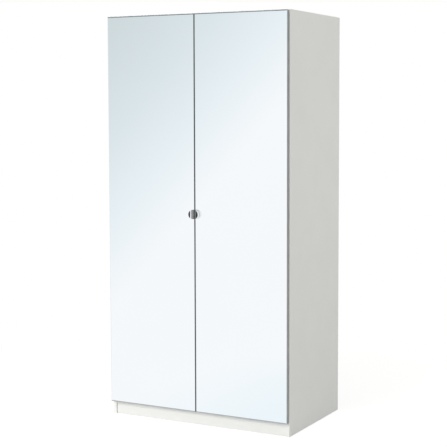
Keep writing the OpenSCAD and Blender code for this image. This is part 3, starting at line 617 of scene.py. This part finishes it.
def knob_inlay():
    """The crescent inlay: a thin slab, a bmesh in millimetres."""
    mesh = bmesh.new()
    outline = arc(KNOB_RADIUS - INLAY_RIM - INLAY_FIT, SCOOP_EDGE + INLAY_RIM + INLAY_FIT, ROUND_STEPS)
    low = [mesh.verts.new((x, y, KNOB_OUT - INLAY_DEPTH)) for x, y in outline]
    high = [mesh.verts.new((x, y, KNOB_OUT)) for x, y in outline]
    mesh.faces.new(high)
    mesh.faces.new(list(reversed(low)))
    for i in range(len(outline)):
        j = (i + 1) % len(outline)
        mesh.faces.new((low[i], low[j], high[j], high[i]))
    bmesh.ops.recalc_face_normals(mesh, faces=mesh.faces)
    return mesh


def on_door(mesh, side, rounding):
    """Rounds the sharp edges of a knob part by some millimetres and puts it on its door, at the split."""
    sharp = [edge for edge in mesh.edges if edge.calc_face_angle(0) > math.radians(ROUNDED_FROM)]
    rounded(mesh, sharp, rounding, 3)
    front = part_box("frame_rails_right")[0].y
    low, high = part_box("knob_right")
    sign = 1 if side == "right" else -1
    place = Matrix.Translation((0, front, (low.z + high.z) / 2)) @ Matrix(
        ((sign * MM, 0, 0, 0), (0, 0, -MM, 0), (0, MM, 0, 0), (0, 0, 0, 1))
    )
    bmesh.ops.transform(mesh, matrix=place, verts=mesh.verts)
    bmesh.ops.recalc_face_normals(mesh, faces=mesh.faces)
    return shaded(mesh)


for side in ("left", "right"):
    knob = on_door(knob_body(), side, KNOB_ROUNDING)
    piece(f"half_moon_knob_{side}", knob, (SILVER, SCOOP_PAINTED_SHADE), f"knob_{side}")
    inlay = on_door(knob_inlay(), side, INLAY_ROUNDING)
    piece(f"crescent_inlay_{side}", inlay, (BLACK,), f"knob_inlay_{side}")


# Repeated fittings, grown by Geometry Nodes

THREAD = {"Core Radius": "Float", "Ridge Radius": "Float", "Thread Length": "Float", "Turns": "Float"}


def sized_tree(name, sizes):
    """A Geometry Nodes tree that takes points, a material and named sizes. Returns it and its inputs by
    name."""
    tree = bpy.data.node_groups.new(name, "GeometryNodeTree")
    tree.interface.new_socket("Points", in_out="INPUT", socket_type="NodeSocketGeometry")
    tree.interface.new_socket("Material", in_out="INPUT", socket_type="NodeSocketMaterial")
    for size, kind in sizes.items():
        tree.interface.new_socket(size, in_out="INPUT", socket_type="NodeSocket" + kind)
    tree.interface.new_socket("Mesh", in_out="OUTPUT", socket_type="NodeSocketGeometry")
    return tree, add(tree, "NodeGroupInput").outputs


def stand_on_points(tree, given, fitting):
    """Ends a tree with the fitting on every point, turned to the point's aim, real and in the material."""
    aim = add(tree, "GeometryNodeInputNamedAttribute", {"Name": "aim"}, data_type="FLOAT_VECTOR")
    turn = add(tree, "FunctionNodeAlignRotationToVector", {"Vector": aim}, axis="Z")
    placed = add(tree, "GeometryNodeInstanceOnPoints",
                 {"Points": given["Points"], "Instance": fitting, "Rotation": turn})
    real = add(tree, "GeometryNodeRealizeInstances", {"Geometry": placed})
    dressed = add(tree, "GeometryNodeSetMaterial", {"Geometry": real, "Material": given["Material"]})
    add(tree, "NodeGroupOutput", {"Mesh": dressed})
    return tree


def swept(tree, height, section, rings=2, scale=1.0):
    """A section carried up the Z axis from 0 to a height, closed at both ends and scaled by a field."""
    end = add(tree, "ShaderNodeCombineXYZ", {"Z": height})
    axis = add(tree, "GeometryNodeCurvePrimitiveLine", {"End": end})
    axis = add(tree, "GeometryNodeResampleCurve", {"Curve": axis, "Count": rings})
    return add(tree, "GeometryNodeCurveToMesh",
               {"Curve": axis, "Profile Curve": section, "Scale": scale, "Fill Caps": True})


def raised(tree, geometry, height):
    """A geometry moved up the Z axis."""
    up = add(tree, "ShaderNodeCombineXYZ", {"Z": height})
    return add(tree, "GeometryNodeTransform", {"Geometry": geometry, "Translation": up})


def from_middle(tree):
    """How far a point lies from the middle of its curve: a field from 0 there to 1 at both ends."""
    share = add(tree, "GeometryNodeSplineParameter")
    signed = add(tree, "ShaderNodeMath", {0: share, 1: 2.0, 2: -1.0}, operation="MULTIPLY_ADD")
    return add(tree, "ShaderNodeMath", {0: signed}, operation="ABSOLUTE")


def threaded(tree, given, sides):
    """A helical ridge about the Z axis from Z = 0, and the core under it."""
    helix = add(tree, "GeometryNodeCurveSpiral",
                {"Resolution": sides, "Rotations": given["Turns"], "Start Radius": given["Core Radius"],
                 "End Radius": given["Core Radius"], "Height": given["Thread Length"]})
    level = add(tree, "GeometryNodeSetCurveNormal", {"Curve": helix}, mode="Z_UP")
    ridge = add(tree, "GeometryNodeCurvePrimitiveCircle", {"Resolution": 4, "Radius": given["Ridge Radius"]})
    thread = add(tree, "GeometryNodeCurveToMesh", {"Curve": level, "Profile Curve": ridge, "Fill Caps": True})
    section = add(tree, "GeometryNodeCurvePrimitiveCircle",
                  {"Resolution": sides, "Radius": given["Core Radius"]})
    return thread, swept(tree, given["Thread Length"], section)


def thread_sizes(radius, length, pitch):
    """The named sizes of a thread whose ridge reaches the radius."""
    ridge = RIDGE_SHARE * pitch
    return {
        "Core Radius": radius - ridge, "Ridge Radius": ridge,
        "Thread Length": length, "Turns": length / pitch,
    }


def screw_tree():
    """A pan-head screw with a cross recess. Its head's seat is at Z = 0, with the head below it."""
    tree, given = sized_tree("cross_head_screw", {
        "Head Radius": "Float", "Head Rise": "Float", "Recess Across": "Vector", "Recess Along": "Vector",
        "Tip Radius": "Float", "Tip Length": "Float", **THREAD})
    share = add(tree, "GeometryNodeSplineParameter")
    squared = add(tree, "ShaderNodeMath", {0: share, 1: 2.0}, operation="POWER")
    dome = add(tree, "ShaderNodeMath", {0: squared, 1: -DOME_SHARE, 2: 1.0}, operation="MULTIPLY_ADD")
    section = add(tree, "GeometryNodeCurvePrimitiveCircle",
                  {"Resolution": HEAD_SIDES, "Radius": given["Head Radius"]})
    head = swept(tree, given["Head Rise"], section, 6, dome)
    for size in ("Recess Across", "Recess Along"):
        bar = raised(tree, add(tree, "GeometryNodeMeshCube", {"Size": given[size]}), given["Head Rise"])
        head = add(tree, "GeometryNodeMeshBoolean", {"Mesh 1": head, "Mesh 2": bar}, solver="EXACT")
    thread, core = threaded(tree, given, SHANK_SIDES)
    tip = add(tree, "GeometryNodeMeshCone",
              {"Vertices": SHANK_SIDES, "Radius Top": 0.1 * MM, "Radius Bottom": given["Tip Radius"],
               "Depth": given["Tip Length"]})
    tip = raised(tree, tip, given["Thread Length"])
    whole = add(tree, "GeometryNodeJoinGeometry", {"Geometry": [head, thread, core, tip]})
    return stand_on_points(tree, given, whole)


def dowel_tree():
    """A fluted dowel along Z from Z = 0, chamfered at both ends."""
    tree, given = sized_tree("fluted_dowel", {
        "Radius": "Float", "Flute Radius": "Float", "Flutes": "Int", "Length": "Float", "Rings": "Int",
        "Chamfer Start": "Float"})
    section = add(tree, "GeometryNodeCurveStar",
                  {"Points": given["Flutes"], "Outer Radius": given["Radius"],
                   "Inner Radius": given["Flute Radius"]})
    chamfer = add(tree, "ShaderNodeMapRange",
                  {"Value": from_middle(tree), "From Min": given["Chamfer Start"], "To Min": 1.0,
                   "To Max": DOWEL_END_SHARE})
    return stand_on_points(tree, given, swept(tree, given["Length"], section, given["Rings"], chamfer))


def foot_tree():
    """A levelling foot: a pad with rounded rims from Z = 0, and a threaded stud with a socket in its top."""
    tree, given = sized_tree("levelling_foot", {
        "Pad Radius": "Float", "Pad Height": "Float", "Key Radius": "Float", **THREAD})
    rim = add(tree, "ShaderNodeMath", {0: from_middle(tree), 1: RIM_POWER}, operation="POWER")
    rim = add(tree, "ShaderNodeMath", {0: rim, 1: -RIM_SHARE, 2: 1.0}, operation="MULTIPLY_ADD")
    section = add(tree, "GeometryNodeCurvePrimitiveCircle",
                  {"Resolution": PAD_SIDES, "Radius": given["Pad Radius"]})
    pad = swept(tree, given["Pad Height"], section, 12, rim)
    thread, core = threaded(tree, given, STUD_SIDES)
    key = add(tree, "GeometryNodeMeshCylinder",
              {"Vertices": 6, "Radius": given["Key Radius"], "Depth": 2 * FOOT_KEY_DEPTH * MM})
    key = raised(tree, key, given["Thread Length"])
    core = add(tree, "GeometryNodeMeshBoolean", {"Mesh 1": core, "Mesh 2": key}, solver="EXACT")
    stud = add(tree, "GeometryNodeJoinGeometry", {"Geometry": [thread, core]})
    stud = raised(tree, stud, given["Pad Height"])
    whole = add(tree, "GeometryNodeJoinGeometry", {"Geometry": [pad, stud]})
    return stand_on_points(tree, given, whole)


def grown(name, tree, places, sizes, material, node):
    """Runs a tree over points, each a place and the direction of its Z axis, and keeps a plain mesh."""
    data = bpy.data.meshes.new(name)
    data.from_pydata([place for place, aim in places], [], [])
    aims = data.attributes.new("aim", "FLOAT_VECTOR", "POINT")
    aims.data.foreach_set("vector", [value for place, aim in places for value in aim])
    seed = bpy.data.objects.new(name + "_points", data)
    scene.collection.objects.link(seed)
    modifier = seed.modifiers.new("grow", "NODES")
    modifier.node_group = tree
    sockets = {item.name: item.identifier for item in tree.interface.items_tree if item.in_out == "INPUT"}
    modifier[sockets["Material"]] = material
    for size, value in sizes.items():
        modifier[sockets[size]] = value
    made = bpy.data.meshes.new_from_object(seed.evaluated_get(bpy.context.evaluated_depsgraph_get()))
    seed.modifiers.clear()
    bpy.data.objects.remove(seed)
    made.name = name
    made.shade_smooth()
    made.set_sharp_from_angle(angle=math.radians(SMOOTH_UP_TO))
    settle(bpy.data.objects.new(name, made), node)


def loose_parts(node):
    """The corners of each separate solid in a CAD node, always in the same order."""
    mesh = merged(node)
    mesh.verts.index_update()
    seen = set()
    parts = []
    for first in mesh.verts:
        if first.index in seen:
            continue
        seen.add(first.index)
        reached = [first]
        for vert in reached:
            for edge in vert.link_edges:
                other = edge.other_vert(vert)
                if other.index not in seen:
                    seen.add(other.index)
                    reached.append(other)
        parts.append([vert.co.copy() for vert in reached])
    mesh.free()
    return parts


def shaft(points):
    """What a screw's or a dowel's corners say of it: its wider end, the direction from there, its length,
    its radii at that end and further along, and how high its widest ring stands from that end."""
    low = Vector(min(p[i] for p in points) for i in range(3))
    high = Vector(max(p[i] for p in points) for i in range(3))
    long = max(range(3), key=lambda i: high[i] - low[i])
    middle = (low + high) / 2
    length = high[long] - low[long]

    def out(point):
        offset = point - middle
        offset[long] = 0.0
        return offset.length

    widest = max(points, key=out)
    from_low = widest[long] - low[long]
    start, sign = (low, 1.0) if from_low < length / 2 else (high, -1.0)
    place = middle.copy()
    place[long] = start[long]
    aim = Vector((0, 0, 0))
    aim[long] = sign
    along = min(points, key=lambda p: abs((p[long] - start[long]) * sign - length * SHANK_AT))
    return place, aim, length, out(widest), out(along), min(from_low, length - from_low)


SCREWS = {
    "back_wedge_screws": "wedge_screws", "foot_socket_screws": "socket_screws",
    "wall_bracket_screws": "bracket_screws", "rail_socket_screws": "rail_screws",
    "hinge_plate_screws": "plate_screws", "hinge_arm_screws": "arm_screws",
    "hinge_cup_screws_left": "cup_screws_left", "hinge_cup_screws_right": "cup_screws_right",
}
screws = screw_tree()
for node, name in SCREWS.items():
    found = [shaft(part) for part in loose_parts(node)]
    place, aim, length, head_radius, shank_radius, head_height = found[0]
    tip = TIP_LENGTH_SHARE * shank_radius
    recess = RECESS_LONG * head_radius, RECESS_WIDE * head_radius, RECESS_DEEP * head_height
    sizes = {
        "Head Radius": head_radius, "Head Rise": -head_height,
        "Recess Across": recess, "Recess Along": (recess[1], recess[0], recess[2]),
        "Tip Radius": TIP_RADIUS_SHARE * shank_radius, "Tip Length": tip,
        **thread_sizes(shank_radius, length - head_height - tip, SCREW_PITCH * MM),
    }
    grown(name, screws, [(place + aim * head_height, aim) for place, aim, *rest in found], sizes, ZINC, node)

found = [shaft(part) for part in loose_parts("wood_dowels")]
place, aim, length, radius, *rest = found[0]
chamfer = DOWEL_CHAMFER * MM
sizes = {
    "Radius": radius, "Flute Radius": FLUTE_SHARE * radius, "Flutes": DOWEL_FLUTES, "Length": length,
    "Rings": round(length / chamfer) + 1, "Chamfer Start": 1 - 2 * chamfer / length,
}
places = [(place, aim) for place, aim, *rest in found]
grown("fluted_dowels", dowel_tree(), places, sizes, BEECH, "wood_dowels")

feet = foot_tree()
for end in ("front", "rear"):
    for side in ("left", "right"):
        low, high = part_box(f"foot_{end}_{side}")
        centre = ((low.x + high.x) / 2, (low.y + high.y) / 2, low.z)
        stud_length = high.z - low.z - FOOT_PAD_HEIGHT * MM
        sizes = {
            "Pad Radius": (high.x - low.x) / 2, "Pad Height": FOOT_PAD_HEIGHT * MM,
            "Key Radius": KEY_SHARE * FOOT_STUD_RADIUS * MM,
            **thread_sizes(FOOT_STUD_RADIUS * MM, stud_length, FOOT_THREAD_PITCH * MM),
        }
        grown(f"threaded_foot_{end}_{side}", feet, [(centre, (0, 0, 1))], sizes, TURNED, f"foot_{end}_{side}")


# Fittings that keep the CAD's shape, with their outward arrises eased

EASED = {
    NYLON: ("back_joint_strip", "back_wedges", "foot_sockets", "access_caps"),
    ZINC: ("wall_brackets", "shelf_pins", "cam_bolts"),
    CAST: ("cam_locks", "rail_sockets"),
    TURNED: ("hinge_pins_left", "hinge_pins_right"),
    CHROME: ("clothes_rail",),
    NICKEL: ("hinge_plates", "hinge_arms", "hinge_cups_left", "hinge_cups_right"),
    BUMPER: ("door_bumpers_left", "door_bumpers_right"),
    FOAM: ("knob_pad_left", "knob_pad_right"),
}
for material, members in EASED.items():
    for node in members:
        mesh = merged(node)
        arrises = [
            edge for edge in mesh.edges
            if edge.is_convex and edge.calc_face_angle(0) > math.radians(ROUNDED_FROM)
        ]
        rounded(mesh, arrises, FITTING_ROUNDING * MM, 2, clamped=False)
        piece("eased_" + node, shaded(mesh), (material,), node)

for side in ("left", "right"):
    for place in nodes[f"mirror_{side}"].material_slots:
        place.material = MIRROR


# Floor, room, lamps and camera

def paper_floor():
    """A white paper disc. The camera sees the room's white on it, with the object's shadow, and polished
    surfaces see it without."""
    material = bpy.data.materials.new("white_paper_floor")
    material.use_nodes = True
    tree = material.node_tree
    tree.nodes.clear()
    ray = add(tree, "ShaderNodeLightPath").outputs
    place = add(tree, "ShaderNodeTexCoord").outputs["Object"]
    away = add(tree, "ShaderNodeVectorMath", {0: place}, operation="LENGTH").outputs["Value"]
    edge = add(tree, "ShaderNodeMapRange",
               {"Value": away, "From Min": FLOOR_FADE[0], "From Max": FLOOR_FADE[1]},
               interpolation_type="SMOOTHSTEP")
    white = add(tree, "ShaderNodeEmission", {"Strength": 1.0})
    glow = add(tree, "ShaderNodeEmission", {"Strength": FLOOR_GLOW})
    paper = add(tree, "ShaderNodeBsdfDiffuse", {"Color": (FLOOR_SHARE, FLOOR_SHARE, FLOOR_SHARE, 1.0)})
    shadowed = add(tree, "ShaderNodeAddShader", {0: glow, 1: paper})
    seen = add(tree, "ShaderNodeMixShader", {0: edge, 1: shadowed, 2: white})
    # Polished surfaces see a floor that is a little cooler near the object's right half
    across = add(tree, "ShaderNodeSeparateXYZ", {0: place}).outputs["X"]
    right = add(tree, "ShaderNodeMapRange",
                {"Value": across, "From Min": FLOOR_COOLING[0], "From Max": FLOOR_COOLING[1]})
    near = add(tree, "ShaderNodeMath", {0: 1.0, 1: edge}, operation="SUBTRACT")
    cool = add(tree, "ShaderNodeMath", {0: right, 1: near}, operation="MULTIPLY")
    cool = add(tree, "ShaderNodeValToRGB", {"Fac": cool}, stops=((0.0, "ffffff"), (1.0, "f4fbfd")))
    mirrored = add(tree, "ShaderNodeEmission", {"Color": cool, "Strength": 1.0})
    solid = add(tree, "ShaderNodeBsdfDiffuse", {"Color": linear("bcbcba")})
    polished = add(tree, "ShaderNodeMath", {0: ray["Is Glossy Ray"], 1: ray["Is Transmission Ray"]},
                   operation="MAXIMUM")
    both = add(tree, "ShaderNodeMixShader", {0: polished, 1: solid, 2: mirrored})
    both = add(tree, "ShaderNodeMixShader", {0: ray["Is Camera Ray"], 1: both, 2: seen})
    add(tree, "ShaderNodeOutputMaterial", {"Surface": both})
    mesh = bmesh.new()
    bmesh.ops.create_circle(mesh, cap_ends=True, radius=FLOOR_RADIUS, segments=FLOOR_SIDES,
                            matrix=Matrix.Translation((0, 0, -FLOOR_DROP)))
    data = bpy.data.meshes.new("paper_floor")
    mesh.to_mesh(data)
    mesh.free()
    data.materials.append(material)
    item = bpy.data.objects.new("paper_floor", data)
    scene.collection.objects.link(item)


def white_room():
    """White all round for the camera. Polished metal and glass see it fall off to a cool grey, upward and to
    the left."""
    world = bpy.data.worlds.new("white_room")
    scene.world = world
    world.use_nodes = True
    tree = world.node_tree
    tree.nodes.clear()
    ray = add(tree, "ShaderNodeLightPath").outputs
    look = add(tree, "ShaderNodeTexCoord").outputs["Generated"]
    slope = add(tree, "ShaderNodeVectorMath", {0: look, 1: ROOM_SLOPE}, operation="DOT_PRODUCT")
    fall = add(tree, "ShaderNodeMapRange",
               {"Value": slope.outputs["Value"], "From Min": ROOM_FALL[0], "From Max": ROOM_FALL[1]})
    walls = add(tree, "ShaderNodeValToRGB", {"Fac": fall}, stops=(
        (0.0, "ffffff"), (0.197, "eef5f7"), (0.356, "e3ebed"), (0.579, "d7dfe0"), (1.0, "c5ced0")))
    white = add(tree, "ShaderNodeBackground", {"Color": (1, 1, 1, 1), "Strength": 1.0})
    mirrored = add(tree, "ShaderNodeBackground", {"Color": walls, "Strength": 1.0})
    soft = add(tree, "ShaderNodeBackground", {"Color": linear("fbfaf6"), "Strength": ROOM_LIGHT})
    direct = add(tree, "ShaderNodeMath", {0: ray["Is Camera Ray"], 1: ray["Is Transmission Ray"]},
                 operation="MAXIMUM")
    both = add(tree, "ShaderNodeMixShader", {0: ray["Is Glossy Ray"], 1: soft, 2: mirrored})
    both = add(tree, "ShaderNodeMixShader", {0: direct, 1: both, 2: white})
    add(tree, "ShaderNodeOutputWorld", {"Surface": both})


def soft_box(name, power, place, aim):
    """A square soft box that polished surfaces don't show."""
    light = bpy.data.lights.new(name, "AREA")
    light.energy = power
    light.shape = "SQUARE"
    light.size = BOX_SIDE
    item = bpy.data.objects.new(name, light)
    scene.collection.objects.link(item)
    item.location = place
    item.rotation_mode = "QUATERNION"
    item.rotation_quaternion = (Vector(aim) - Vector(place)).to_track_quat("-Z", "Y")
    item.visible_glossy = False


def stand_camera():
    data = bpy.data.cameras.new("camera")
    data.lens = CAMERA_LENS
    data.sensor_width = 36.0
    data.shift_x, data.shift_y = CAMERA_SHIFT
    data.clip_start, data.clip_end = 0.1, 100.0
    item = bpy.data.objects.new("camera", data)
    scene.collection.objects.link(item)
    item.location = CAMERA_AT
    item.rotation_euler = (math.radians(90 + CAMERA_PITCH), 0.0, math.radians(CAMERA_YAW))
    scene.camera = item


paper_floor()
white_room()
soft_box("front_soft_box", FRONT_BOX, (-1.2, -4.2, 1.9), (0.0, 0.0, 0.9))
soft_box("side_soft_box", SIDE_BOX, (4.4, 0.2, 1.6), (0.0, 0.0, 1.1))
soft_box("top_soft_box", TOP_BOX, (0.0, -0.6, 4.6), (0.0, 0.0, 1.0))
stand_camera()
scene.view_settings.view_transform = "Standard"
